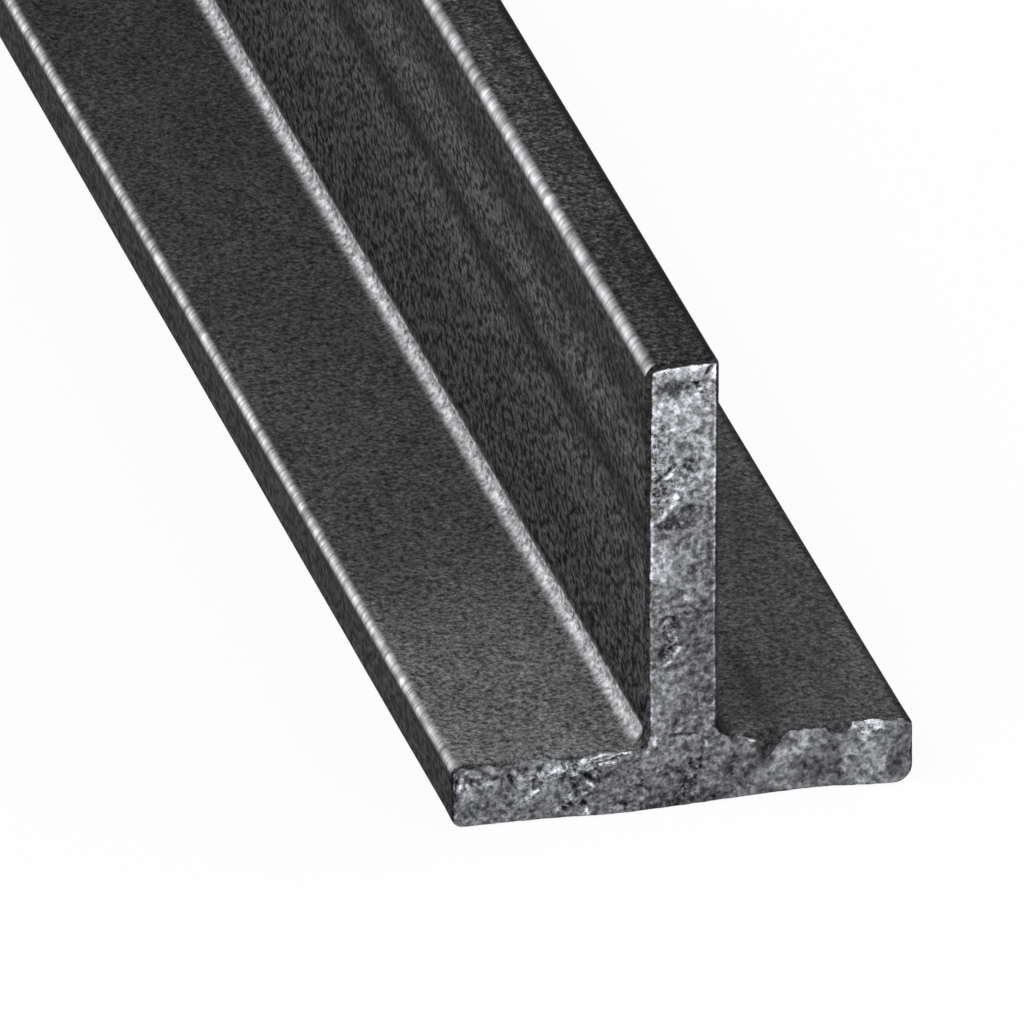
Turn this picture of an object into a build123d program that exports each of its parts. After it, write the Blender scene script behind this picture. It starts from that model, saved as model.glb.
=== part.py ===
from build123d import *

import os

# Steel tee section: one bar of hot rolled stock, cropped to length in a shear.
# It lies on its flange, and the web stands up from the middle of it.
# X runs across the flange, Y along the bar and Z up the web, in millimetres.
# The origin is on the underside of the flange, in the middle of its width and of the bar's length.

# The rolled section.
flange_width = 20.0
section_height = 20.7
flange_thickness = 2.95
web_thickness = 3.2

# The roundings that the rolls leave, with a small fillet where web and flange meet.
# The toes on the left are rounder than those on the right, and the right heel is the rounder heel.
root_radius = 0.75
left_web_toe_radius = 0.64
right_web_toe_radius = 0.40
left_flange_toe_radius = 0.51
right_flange_toe_radius = 0.30
left_heel_radius = 0.60
right_heel_radius = 0.80

# The bar, as it is sold by the metre.
bar_length = 1000.0

# The cropped ends. The blade draws the rolled skin over the edge and leaves a face that waves.
# Each depth is how far the near end's face lies inside the full length, at even steps from left to right.
crop_edge_radius = 0.20
crop_depths = (0.27, 0.34, 0.29, 0.05, 0.15, 0.36, 0.43, 0.07, 0.18)
blade_overrun = 2.0

os.makedirs("parts", exist_ok=True)

# The metal that the shear takes off the near end. Seen from above, the cut waves across the width.
blade_width = flange_width + 2 * blade_overrun
blade_step = blade_width / (len(crop_depths) - 1)
blade_points = [
    (index * blade_step - blade_width / 2, depth - bar_length / 2)
    for index, depth in enumerate(crop_depths)
]
offcut_end = -bar_length / 2 - 2 * blade_overrun
with BuildPart() as offcut:
    with BuildSketch(Plane.XY):
        with BuildLine():
            blade = Spline(blade_points)
            Polyline(
                blade @ 0,
                (-blade_width / 2, offcut_end),
                (blade_width / 2, offcut_end),
                blade @ 1,
            )
        make_face()
    extrude(amount=section_height + blade_overrun)

# The bar. Its profile is drawn in the upright plane that faces along it, and runs out past both ends.
# The same blade then crops both ends, half a turn apart, and the skin is drawn over each cut's edge.
with BuildPart() as bar:
    with BuildSketch(Plane.XZ) as section:
        Rectangle(flange_width, flange_thickness, align=(Align.CENTER, Align.MIN))
        Rectangle(web_thickness, section_height, align=(Align.CENTER, Align.MIN))
        shelf = section.vertices().group_by(Axis.Y)[1].sort_by(Axis.X)
        fillet(shelf[1:3], root_radius)
        fillet(section.vertices().group_by(Axis.X)[0].sort_by(Axis.Y)[-1], left_flange_toe_radius)
        fillet(section.vertices().group_by(Axis.X)[0].sort_by(Axis.Y)[0], left_heel_radius)
        fillet(section.vertices().group_by(Axis.X)[-1].sort_by(Axis.Y)[-1], right_flange_toe_radius)
        fillet(section.vertices().group_by(Axis.X)[-1].sort_by(Axis.Y)[0], right_heel_radius)
        fillet(section.vertices().group_by(Axis.Y)[-1].sort_by(Axis.X)[0], left_web_toe_radius)
        fillet(section.vertices().group_by(Axis.Y)[-1].sort_by(Axis.X)[-1], right_web_toe_radius)
    extrude(amount=bar_length / 2 + blade_overrun, both=True)
    with PolarLocations(0, 2):
        add(offcut.part, mode=Mode.SUBTRACT)
    cropped_faces = bar.faces().sort_by(Axis.Y)
    fillet(cropped_faces[0].edges() + cropped_faces[-1].edges(), crop_edge_radius)

bar.part.label = "tee_section"
export_step(bar.part, "parts/tee_section.step")
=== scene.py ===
# %% [markdown]
# # A steel tee section, cropped from hot rolled stock
#
# The object is one bar: a flange that lies flat and a web that stands up from the middle of it, rolled
# together from one hot billet. A shear has cropped it to a metre. What makes it look real is small: tight
# rounded corners that catch a line of light, dark mill scale with a fine grain, and a cut end where the
# torn steel is bright, lumpy and pitted.
#
# We first load the measured bar. It gives the place and the size, which the visible model keeps.

# %% Load the measured bar
import math

import bmesh
import bpy
import numpy as np
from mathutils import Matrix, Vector, noise


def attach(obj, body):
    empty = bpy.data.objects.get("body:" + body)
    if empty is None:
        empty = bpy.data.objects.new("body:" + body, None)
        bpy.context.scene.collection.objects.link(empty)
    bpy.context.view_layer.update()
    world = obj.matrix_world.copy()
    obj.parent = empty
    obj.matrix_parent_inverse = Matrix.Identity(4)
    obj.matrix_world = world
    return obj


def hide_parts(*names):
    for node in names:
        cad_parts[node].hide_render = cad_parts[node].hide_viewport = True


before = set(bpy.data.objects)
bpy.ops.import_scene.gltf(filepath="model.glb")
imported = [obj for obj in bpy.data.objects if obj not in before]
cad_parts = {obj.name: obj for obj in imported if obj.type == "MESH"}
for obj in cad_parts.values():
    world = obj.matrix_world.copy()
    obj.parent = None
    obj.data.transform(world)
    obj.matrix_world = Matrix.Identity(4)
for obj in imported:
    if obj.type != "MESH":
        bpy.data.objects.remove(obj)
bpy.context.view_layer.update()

# %% [markdown]
# ## Sizes
#
# The section is written in millimetres, as a roller's drawing would be. Blender's tools merge and clamp
# by small distances, and a bar with corners of half a millimetre is safer to model at one unit to the
# millimetre. It is brought down to metres once it is whole.

# %% Sizes of the bar, in millimetres
flange_width = 20.0
flange_thickness = 2.95
section_height = 20.7
web_thickness = 3.2
bar_length = 1000.0

root_radius = 0.75
left_web_toe_radius = 0.64
right_web_toe_radius = 0.40
left_flange_toe_radius = 0.51
right_flange_toe_radius = 0.30
left_heel_radius = 0.60
right_heel_radius = 0.80
crop_edge_radius = 0.20
crop_depths = (0.27, 0.34, 0.29, 0.05, 0.15, 0.36, 0.43, 0.07, 0.18)
blade_overrun = 2.0

half_flange = flange_width / 2
half_web = web_thickness / 2
half_length = bar_length / 2
print("section", flange_width, "x", section_height, "mm, bar", bar_length, "mm")

# %% [markdown]
# ## Choosing faces and edges
#
# By hand we would click on a corner or box-select a row. In a script we choose by place: everything is
# deselected first, and then whatever passes a test is selected. Bisecting with a plane stands in for the
# loop cut, which needs a window.

# %% Tools for the workbench
def choose(kind, test):
    """Selects only the faces or edges of the mesh in hand that pass the test."""
    bpy.ops.mesh.select_all(action="DESELECT")
    bpy.ops.mesh.select_mode(type="FACE" if kind == "faces" else "EDGE")
    in_hand = bmesh.from_edit_mesh(bpy.context.object.data)
    chosen = [item for item in getattr(in_hand, kind) if test(item)]
    for item in chosen:
        item.select_set(True)
    bmesh.update_edit_mesh(bpy.context.object.data)
    return len(chosen)


def middle(edge):
    """The point half way along an edge."""
    return (edge.verts[0].co + edge.verts[1].co) / 2


def runs_along_bar(edge):
    """True for an edge that lies along Y."""
    run = edge.verts[1].co - edge.verts[0].co
    return abs(run.y) > 0.999 * run.length


def score(axis, places):
    """Cuts all that isn't hidden with a plane across the axis at each of the places."""
    normal = {"x": (1, 0, 0), "y": (0, 1, 0), "z": (0, 0, 1)}[axis]
    for place in places:
        bpy.ops.mesh.select_all(action="SELECT")
        bpy.ops.mesh.bisect(plane_co=[place * part for part in normal], plane_no=normal, threshold=0.004)


def between(low, high, about):
    """Even places strictly between two limits, about so far apart."""
    gaps = max(1, round((high - low) / about))
    return [low + (high - low) * step / gaps for step in range(1, gaps)]


print("workbench ready")

# %% [markdown]
# ## The flange, and the web drawn up out of it
#
# The whole section could be drawn as an outline, but it is easier to see how it is built when it starts
# as the flange: a flat block. Two cuts mark the strip where the web stands, and that strip is extruded
# up to the full height. The result is one closed skin with square corners.

# %% The flange block and the web
bpy.ops.object.select_all(action="DESELECT")
bpy.ops.mesh.primitive_cube_add(size=1, location=(0, 0, flange_thickness / 2))
tee_bar = bpy.context.object
tee_bar.name = "tee_section_rolled"
tee_bar.data.name = "tee_section_rolled"
tee_bar.scale = (flange_width, bar_length, flange_thickness)
bpy.ops.object.transform_apply(location=True, rotation=True, scale=True)

bpy.ops.object.mode_set(mode="EDIT")
score("x", [-half_web, half_web])
choose("faces", lambda face: face.normal.z > 0.9 and abs(face.calc_center_median().x) < half_web)
bpy.ops.mesh.extrude_region_move(
    TRANSFORM_OT_translate={"value": (0, 0, section_height - flange_thickness)}
)
print("square tee:", len(bmesh.from_edit_mesh(tee_bar.data).faces), "faces")

# %% [markdown]
# ## Rows to round and shape
#
# Rounding and denting need something to move. The flat faces are scored in strips about half a
# millimetre wide before the corners are rounded, and the strips stop short of each corner, so that no
# cut runs through a rounding.

# %% Score the flats
strip_width = 0.5

shelf_places = between(half_web + root_radius, half_flange - right_heel_radius, strip_width)
score("x", shelf_places + [-place for place in shelf_places])
score("x", between(-half_web + left_web_toe_radius, half_web - right_web_toe_radius, strip_width))
score("z", between(right_heel_radius, flange_thickness - left_flange_toe_radius, strip_width))
score("z", between(flange_thickness + root_radius, section_height - left_web_toe_radius, strip_width))
print("scored tee:", len(bmesh.from_edit_mesh(tee_bar.data).faces), "faces")

# %% [markdown]
# ## The roundings that the rolls leave
#
# A rolled corner is never sharp. These are tight for a section of this size, and each has its own
# radius: the left toes are rounder than the right ones. The bevel tool rounds a corner that stands out,
# and also fills the one where web and flange meet. Eight segments keep the line of light along each
# corner smooth.

# %% Round the long corners
corner_segments = 8


def long_corner(across, up):
    """A test for the corner edge at this place across the bar and this height."""
    def test(edge):
        place = middle(edge)
        return runs_along_bar(edge) and abs(place.x - across) < 0.01 and abs(place.z - up) < 0.01
    return test


for across, up, radius in (
    (-half_web, flange_thickness, root_radius),
    (half_web, flange_thickness, root_radius),
    (-half_web, section_height, left_web_toe_radius),
    (half_web, section_height, right_web_toe_radius),
    (-half_flange, flange_thickness, left_flange_toe_radius),
    (half_flange, flange_thickness, right_flange_toe_radius),
    (-half_flange, 0.0, left_heel_radius),
    (half_flange, 0.0, right_heel_radius),
):
    choose("edges", long_corner(across, up))
    bpy.ops.mesh.bevel(
        offset=radius, offset_type="OFFSET", segments=corner_segments, profile=0.5, affect="EDGES"
    )
    print("rounded the corner at", across, up, "to", radius, "mm")

# %% Round the edge of both cuts
rim_segments = 5


def rims_cut(edge):
    """A test for the edges between a cut face and the rolled skin."""
    if len(edge.link_faces) != 2:
        return False
    first, second = (abs(face.normal.y) > 0.9 for face in edge.link_faces)
    return first != second


found = choose("edges", rims_cut)
bpy.ops.mesh.bevel(
    offset=crop_edge_radius, offset_type="OFFSET", segments=rim_segments, profile=0.5, affect="EDGES"
)
print("rounded", found, "edges round the cuts to", crop_edge_radius, "mm")
bpy.ops.object.mode_set(mode="OBJECT")
print("faces", len(tee_bar.data.polygons))

# %% [markdown]
# ## A fine net on the cut ends
#
# The torn steel is shaped for real, so the cut faces and their rounded edges are scored again, with
# planes a little over a tenth of a millimetre apart. The near cut is looked at closely, and its net is
# divided once more. One line behind the cut keeps the fine net from running down the whole bar: the
# strip between holds the change from coarse to fine.

# %% Score the cut ends finely
net_step = 0.132
strip_behind_cut = 1.6
net_edge = half_length - strip_behind_cut
cut_begins = half_length - crop_edge_radius - 0.001

bpy.ops.object.mode_set(mode="EDIT")
score("y", [-net_edge, net_edge])


def belongs_to_cut(face):
    """True for the cut faces and their rounded edges."""
    return abs(face.calc_center_median().y) > cut_begins


choose("faces", belongs_to_cut)
bpy.ops.mesh.hide(unselected=True)
score("x", between(-half_flange, half_flange, net_step))
score("z", between(0.0, section_height, net_step))
choose("faces", lambda face: belongs_to_cut(face) and face.calc_center_median().y < 0)
bpy.ops.mesh.subdivide(number_cuts=1)
bpy.ops.mesh.reveal()
print("with the net:", len(bmesh.from_edit_mesh(tee_bar.data).faces), "faces")

# %% [markdown]
# ## Rows along the bar
#
# The skin needs cross rows too, for the slow waves of the rolling. They are close near the ends, where
# the bar is looked at, and far apart between.

# %% Rows along the bar
close_rows_reach = 90.0
close_rows = 59
middle_rows = 39
close_rows_end = net_edge - close_rows_reach
score("y", [-close_rows_end, close_rows_end])


def lies_between(low, high):
    """A test for the edges that run along the bar between two distances from its middle."""
    def test(edge):
        return runs_along_bar(edge) and low < abs(middle(edge).y) < high
    return test


choose("edges", lies_between(close_rows_end, net_edge))
bpy.ops.mesh.subdivide(number_cuts=close_rows)
choose("edges", lies_between(-1.0, close_rows_end))
bpy.ops.mesh.subdivide(number_cuts=middle_rows)
bpy.ops.object.mode_set(mode="OBJECT")
print("faces", len(tee_bar.data.polygons))

# %% [markdown]
# ## The points in hand, and how deep each lies inside the outline
#
# The shaping that follows pushes points about by place, as a hammer or a proportional edit would. It
# needs to know, for each point of a cut end, how far in from the rolled outline it lies. The outline is
# the loop of skin edges just behind the cut, and the depth is the distance to the nearest of them.

# %% Measure the depth inside the outline
bar_mesh = tee_bar.data
point_count = len(bar_mesh.vertices)
points = np.empty(point_count * 3)
bar_mesh.vertices.foreach_get("co", points)
points = points.reshape(-1, 3)
outward = np.empty(point_count * 3)
bar_mesh.vertices.foreach_get("normal", outward)
outward = outward.reshape(-1, 3)

edge_ends = np.empty(len(bar_mesh.edges) * 2, dtype=int)
bar_mesh.edges.foreach_get("vertices", edge_ends)
edge_ends = edge_ends.reshape(-1, 2)
on_loop = (np.abs(points[edge_ends, 1] + net_edge) < 0.001).all(axis=1)
loop_from = points[edge_ends[on_loop, 0]][:, [0, 2]]
loop_run = points[edge_ends[on_loop, 1]][:, [0, 2]] - loop_from

at_cut = np.abs(points[:, 1]) > cut_begins
cut_places = points[at_cut][:, [0, 2]]
nearest = np.full(len(cut_places), 1e9)
nearest_side = np.zeros((len(cut_places), 2))
for start, run in zip(loop_from, loop_run):
    along = np.clip(((cut_places - start) @ run) / (run @ run), 0, 1)
    gap = np.linalg.norm(cut_places - start - along[:, None] * run, axis=1)
    nearest_side[gap < nearest] = start + run / 2
    nearest = np.minimum(nearest, gap)
inset = np.zeros(point_count)
inset[at_cut] = nearest
behind_cut = np.clip(half_length - crop_edge_radius - np.abs(points[:, 1]), 0, 5)
print("outline edges", int(on_loop.sum()), "cut points", int(at_cut.sum()))
print("the deepest point lies", round(float(nearest.max()), 2), "mm inside the outline")

# %% [markdown]
# ## The torn face
#
# A shear blade cuts only part of the way; the rest tears. The face that is left swells and dips, follows
# a wave from side to side, and carries pits, cracks and bright lips where the metal parted last. The wave
# is the one that the bar was measured with. The lumps come from noise at several sizes, so that they look
# torn and not modelled, and the marks that show most are drawn as soft strokes. A stroke sinks
# the steel or raises it, darkens or brightens it, and may roughen it.
#
# The strokes come in four kinds, as one would lay them down with a brush: broad light and dark first,
# mostly painted light and shade of the hills and hollows, then patches where the steel broke up, then
# cracks and pits, darkened with painted shade, and last the lips and splinters, painted bright as
# highlights where they catch the light.

# %% The wave of the crop and the lumps of the tear
def crop_wave(across):
    """How far a cut lies inside the full length, in mm, at places from left to right."""
    depths = np.array(crop_depths)
    step = (flange_width + 2 * blade_overrun) / (len(depths) - 1)
    place = (across + half_flange + blade_overrun) / step
    left = np.clip(np.floor(place).astype(int), 0, len(depths) - 2)
    t = place - left
    p0, p1, p2, p3 = (depths[np.clip(left + k, 0, len(depths) - 1)] for k in (-1, 0, 1, 2))
    return 0.5 * (
        2 * p1
        + (p2 - p0) * t
        + (2 * p0 - 5 * p1 + 4 * p2 - p3) * t**2
        + (3 * p1 - p0 - 3 * p2 + p3) * t**3
    )


def noise_at(across, up, seed, per_mm):
    """Smooth noise between -1 and 1 over a cut face, with so many lumps to the millimetre."""
    return np.array([noise.noise(Vector((a * per_mm, u * per_mm, seed))) for a, u in zip(across, up)])


# %% Broad light and dark on the near cut, mostly painted light and shade: places across and up, half width, depth, tone, roughness
broad_tones = (
    # the web, from the top down
    (((-0.91, 20.09), (-0.47, 20.03)), 0.32, 0.0, 0.16, 0.0),
    (((-1.24, 19.71), (-0.53, 19.41)), 0.3, 0.03, -0.32, 0.0),
    (((-0.6, 19.5), (-0.14, 19.6), (0.63, 19.57)), 0.25, 0.08, -0.58, 0.3),
    (((-0.16, 19.34), (0.1, 19.26)), 0.28, 0.02, -0.28, 0.0),
    (((-0.9, 18.9), (0.2, 18.85)), 0.45, 0.0, 0.18, 0.0),
    (((-1.12, 18.18), (0.88, 17.73)), 0.5, 0.0, 0.15, 0.0),
    (((-0.33, 17.32), (0.59, 17.28)), 0.35, 0.02, -0.14, 0.0),
    (((-0.86, 16.19), (0.11, 16.06)), 0.3, 0.0, 0.11, 0.0),
    (((-0.99, 13.56), (-0.85, 12.85), (-0.41, 12.78)), 0.38, 0.02, -0.26, 0.0),
    (((-1.1, 13.1), (0.1, 13.7), (1.2, 13.4)), 0.45, 0.04, -0.24, 0.0),
    (((-0.79, 13.03), (-0.03, 13.3), (0.24, 13.84)), 0.28, 0.06, -0.35, 0.0),
    (((-1.15, 12.3), (-0.95, 11.2)), 0.6, -0.02, 0.32, 0.0),
    (((-1.26, 12.1), (-1.1, 10.71)), 0.3, 0.0, 0.25, 0.0),
    (((-0.32, 11.47), (-0.19, 10.7), (-0.67, 10.17)), 0.48, -0.02, 0.2, 0.0),
    (((-1.0, 8.4), (1.0, 8.35)), 0.35, 0.02, -0.16, 0.0),
    (((0.3, 7.7), (1.0, 7.0)), 0.5, 0.03, -0.24, 0.0),
    (((-1.02, 7.24), (-0.93, 6.24)), 0.35, 0.02, -0.26, 0.0),
    (((-1.0, 5.98), (-0.42, 5.42)), 0.45, 0.0, 0.3, 0.0),
    (((-1.2, 4.7), (-0.95, 3.9)), 0.4, 0.0, 0.22, 0.0),
    # the flange, from left to right
    (((-9.51, 1.33), (-9.17, 1.65)), 0.2, 0.0, 0.39, 0.0),
    (((-8.51, 2.51), (-7.98, 2.55)), 0.2, -0.02, 0.2, 0.0),
    (((-7.98, 1.62), (-7.45, 1.71)), 0.3, 0.0, -0.22, 0.0),
    (((-7.29, 2.36), (-7.03, 2.33)), 0.28, 0.02, -0.2, 0.0),
    (((-6.95, 1.88), (-6.76, 1.87)), 0.33, -0.03, 0.35, 0.0),
    (((-6.65, 1.19), (-5.93, 1.26)), 0.3, 0.0, 0.12, 0.3),
    (((-6.6, 0.75), (-6.9, 1.2)), 0.4, 0.0, 0.18, 0.0),
    (((-6.35, 2.35), (-5.2, 2.2)), 0.35, -0.02, 0.3, 0.0),
    (((-5.6, 1.65), (-5.0, 1.6)), 0.3, 0.0, 0.22, 0.0),
    (((-5.1, 0.55), (-5.8, 0.4)), 0.3, 0.03, -0.22, 0.0),
    (((-2.0, 0.18), (-0.92, 0.22), (-0.2, 0.26), (1.3, 0.16)), 0.32, 0.05, -0.62, 0.0),
    (((-1.06, 2.43), (-0.93, 2.41)), 0.3, 0.0, 0.14, 0.0),
    (((-0.56, 2.77), (-0.03, 3.17), (0.47, 3.05)), 0.22, -0.02, 0.28, 0.2),
    (((-0.31, 1.06), (0.4, 1.1)), 0.35, 0.02, -0.22, 0.0),
    (((1.6, 0.55), (2.2, 0.85)), 0.45, 0.02, -0.2, 0.0),
    (((1.82, 0.97), (2.13, 1.77), (2.61, 2.26)), 0.34, 0.02, -0.18, 0.0),
    (((2.03, 1.43), (2.68, 1.16)), 0.35, 0.05, -0.35, 0.0),
    (((2.3, 1.9), (2.9, 1.8)), 0.4, 0.02, -0.2, 0.0),
    (((3.28, 2.75), (3.42, 2.2), (3.6, 1.75)), 0.2, 0.03, -0.4, 0.0),
    (((3.42, 1.05), (4.16, 0.44)), 0.25, 0.0, 0.25, 0.0),
    (((4.6, 1.7), (5.4, 1.6)), 0.4, -0.02, 0.28, 0.0),
    (((5.21, 1.37), (6.13, 1.13)), 0.24, 0.04, -0.35, 0.2),
    (((5.45, 1.4), (5.45, 0.78)), 0.2, 0.03, -0.35, 0.0),
    (((6.33, 2.48), (6.72, 1.73), (6.79, 0.66)), 0.2, 0.04, -0.4, 0.2),
    (((7.4, 1.9), (8.2, 1.85)), 0.45, -0.02, 0.38, 0.0),
    (((7.97, 2.45), (8.22, 2.39)), 0.35, 0.0, 0.1, 0.0),
    (((9.11, 0.87), (9.44, 0.48)), 0.3, 0.03, -0.25, 0.0),
    (((9.3, 2.3), (9.4, 1.2)), 0.4, 0.02, -0.2, 0.0),
    (((9.46, 2.32), (9.51, 1.24)), 0.3, 0.02, -0.14, 0.0),
)
print("broad tones", len(broad_tones))

# %% Patches where the steel broke up
rough_patches = (
    # the web, from the top down
    (((0.44, 20.09), (0.76, 19.36)), 0.26, 0.0, 0.1, 1.0),
    (((0.57, 19.11), (0.7, 19.37)), 0.09, -0.03, 0.7, 0.6),
    (((-1.06, 17.48), (-1.11, 14.4)), 0.5, 0.05, 0.0, 0.9),
    (((-0.61, 16.68), (-0.41, 14.78)), 0.38, 0.05, 0.0, 0.8),
    (((0.12, 15.84), (0.38, 15.67)), 0.16, 0.05, -0.35, 0.8),
    (((-0.91, 14.79), (-0.86, 14.09)), 0.42, 0.14, -0.1, 0.8),
    (((0.21, 10.27), (0.25, 10.18)), 0.09, -0.03, 0.6, 0.6),
    (((0.03, 9.65), (0.16, 9.77)), 0.09, -0.03, 0.8, 0.6),
    (((-0.54, 8.56), (-0.36, 7.84), (-0.67, 7.04)), 0.38, 0.0, 0.0, 1.0),
    (((-0.62, 8.4), (-0.6, 7.3)), 0.38, 0.14, -0.1, 0.9),
    # the flange, from left to right
    (((-9.76, 1.77), (-9.55, 2.25), (-8.59, 2.04)), 0.3, 0.0, 0.05, 0.8),
    (((-8.84, 2.11), (-8.24, 1.89)), 0.25, -0.03, 0.6, 0.6),
    (((-7.59, 2.11), (-5.96, 2.13)), 0.28, -0.02, 0.05, 0.9),
    (((-7.28, 2.22), (-7.18, 2.68)), 0.07, -0.02, 0.54, 0.5),
    (((-6.82, 1.0), (-6.04, 1.53)), 0.25, -0.02, 0.1, 0.9),
    (((-6.76, 2.48), (-6.17, 2.49)), 0.13, 0.03, -0.35, 0.6),
    (((-6.4, 2.1), (-3.6, 1.9)), 0.55, 0.02, 0.0, 0.75),
    (((-6.26, 1.89), (-6.19, 1.81)), 0.2, 0.05, -0.4, 0.5),
    (((-5.96, 2.17), (-5.11, 2.38), (-4.05, 2.59)), 0.35, -0.02, 0.2, 1.0),
    (((-5.88, 2.4), (-3.85, 2.1)), 0.5, 0.0, 0.0, 1.0),
    (((-5.66, 0.42), (-4.98, 0.65)), 0.2, -0.02, 0.25, 0.9),
    (((-5.6, 0.6), (-4.1, 0.8)), 0.45, 0.02, 0.0, 0.7),
    (((-4.92, 1.79), (-4.57, 1.55)), 0.22, 0.06, -0.45, 0.6),
    (((-4.91, 1.74), (-4.14, 0.88)), 0.5, 0.04, -0.2, 0.8),
    (((-4.81, 1.1), (-4.47, 0.47)), 0.4, -0.02, 0.05, 0.9),
    (((-3.45, 0.39), (-2.41, 0.51)), 0.28, 0.0, 0.05, 0.9),
    (((-2.27, 1.24), (-1.73, 1.65)), 0.28, 0.03, -0.05, 0.9),
    (((-1.51, 2.86), (-1.15, 3.24)), 0.22, -0.02, 0.55, 0.9),
    (((0.29, 2.08), (0.43, 1.77)), 0.2, 0.04, -0.1, 0.9),
    (((0.31, 0.96), (0.81, 2.35)), 0.4, 0.04, -0.05, 0.9),
    (((0.88, 1.51), (1.06, 1.96)), 0.1, -0.02, 0.4, 0.8),
    (((1.02, 2.88), (0.75, 1.98), (0.31, 1.11), (0.05, 0.54)), 0.38, 0.02, 0.0, 0.9),
    (((5.73, 2.71), (5.87, 2.48)), 0.1, -0.02, 0.35, 0.5),
    (((7.42, 2.93), (7.61, 2.72)), 0.1, -0.04, 1.1, 0.9),
    (((7.5, 3.03), (8.55, 3.07), (8.13, 2.39)), 0.35, -0.02, 0.2, 0.9),
    (((7.64, 2.58), (8.59, 2.71)), 0.12, -0.04, 1.1, 0.9),
    (((7.9, 2.25), (8.1, 2.11)), 0.1, -0.03, 0.85, 0.8),
    (((8.1, 3.02), (8.59, 3.1)), 0.16, -0.05, 1.5, 0.6),
)
print("rough patches", len(rough_patches))

# %% Cracks and pits, darkened with painted shade
cracks_and_pits = (
    # the web, from the top down
    (((1.1, 20.25), (1.21, 20.38)), 0.1, 0.04, -0.6, 0.0),
    (((0.99, 20.0), (1.21, 20.35)), 0.07, 0.08, -0.9, 0.0),
    (((-0.62, 17.85), (-0.58, 17.77)), 0.09, 0.04, -0.5, 0.0),
    (((-0.83, 17.61), (-0.83, 17.54)), 0.09, 0.04, -0.5, 0.0),
    (((-0.43, 16.3), (-0.34, 15.91), (-0.7, 15.53), (-1.1, 15.25)), 0.07, 0.1, -0.7, 0.0),
    (((0.06, 16.13), (0.42, 15.99), (0.47, 15.5)), 0.12, 0.03, -0.4, 0.4),
    (((-0.23, 15.84), (-0.05, 15.54)), 0.06, 0.06, -0.6, 0.0),
    (((-0.02, 10.07), (0.07, 10.01)), 0.12, 0.05, -0.5, 0.0),
    (((-1.0, 8.7), (-0.69, 8.89), (-0.24, 8.78), (-0.11, 8.24)), 0.09, 0.05, -0.55, 0.0),
    (((-0.56, 7.63), (-0.56, 7.54)), 0.12, 0.05, -0.5, 0.0),
    (((-0.98, 7.22), (-0.94, 7.09)), 0.15, 0.12, -0.8, 0.0),
    (((1.0, 6.35), (1.0, 6.27)), 0.09, 0.05, -0.55, 0.0),
    (((-0.24, 4.06), (-0.44, 3.75)), 0.1, 0.1, -0.7, 0.0),
    (((-0.38, 3.39), (-0.12, 3.4), (0.58, 3.31)), 0.06, 0.1, -0.8, 0.0),
    # the flange, from left to right
    (((-9.6, 1.39), (-9.77, 1.27)), 0.1, 0.04, -0.4, 0.0),
    (((-9.34, 2.32), (-9.17, 2.19)), 0.11, 0.08, -0.6, 0.0),
    (((-9.31, 2.73), (-9.66, 2.42), (-9.81, 1.44)), 0.1, 0.1, -0.6, 0.0),
    (((-8.51, 2.29), (-8.18, 2.15)), 0.14, 0.04, -0.35, 0.0),
    (((-7.51, 2.52), (-7.38, 1.93)), 0.13, 0.12, -0.6, 0.0),
    (((-6.43, 2.04), (-6.48, 1.6)), 0.06, 0.05, -0.55, 0.0),
    (((-6.13, 0.85), (-6.52, 0.46)), 0.16, 0.03, -0.35, 0.0),
    (((-5.31, 0.72), (-5.02, 0.39)), 0.11, 0.08, -0.6, 0.0),
    (((-5.23, 0.55), (-4.84, 0.62)), 0.12, 0.06, -0.5, 0.0),
    (((-4.34, 0.78), (-4.21, 0.56)), 0.08, 0.06, -0.6, 0.0),
    (((-4.24, 2.07), (-3.86, 1.55), (-3.48, 1.7), (-3.04, 2.08)), 0.12, 0.09, -0.6, 0.0),
    (((-4.24, 1.95), (-3.85, 1.7)), 0.05, 0.08, -0.75, 0.0),
    (((-4.02, 2.08), (-3.59, 2.22), (-3.15, 2.43)), 0.045, 0.05, -0.7, 0.0),
    (((-3.81, 2.49), (-3.33, 2.6), (-2.84, 2.77)), 0.045, 0.06, -0.75, 0.0),
    (((-2.88, 0.54), (-2.54, 0.5)), 0.13, 0.12, -0.7, 0.0),
    (((-1.82, 1.19), (-1.46, 1.06)), 0.1, 0.06, -0.6, 0.0),
    (((-0.76, 1.87), (-0.72, 1.63)), 0.11, 0.06, -0.6, 0.0),
    (((-0.33, 0.54), (0.2, 1.03), (0.56, 1.22), (0.88, 1.6)), 0.06, 0.1, -0.8, 0.0),
    (((-0.11, 1.66), (0.16, 1.14)), 0.16, 0.06, -0.35, 0.3),
    (((0.56, 2.04), (0.81, 1.66)), 0.06, 0.06, -0.6, 0.0),
    (((2.39, 2.84), (2.78, 2.69)), 0.04, 0.03, -0.5, 0.0),
    (((7.2, 1.36), (7.74, 1.38)), 0.08, 0.04, -0.4, 0.0),
    (((7.81, 1.95), (7.87, 1.92)), 0.08, 0.05, -0.55, 0.0),
    (((8.35, 2.3), (8.45, 2.16)), 0.07, 0.05, -0.5, 0.0),
)
print("cracks and pits", len(cracks_and_pits))
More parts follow.
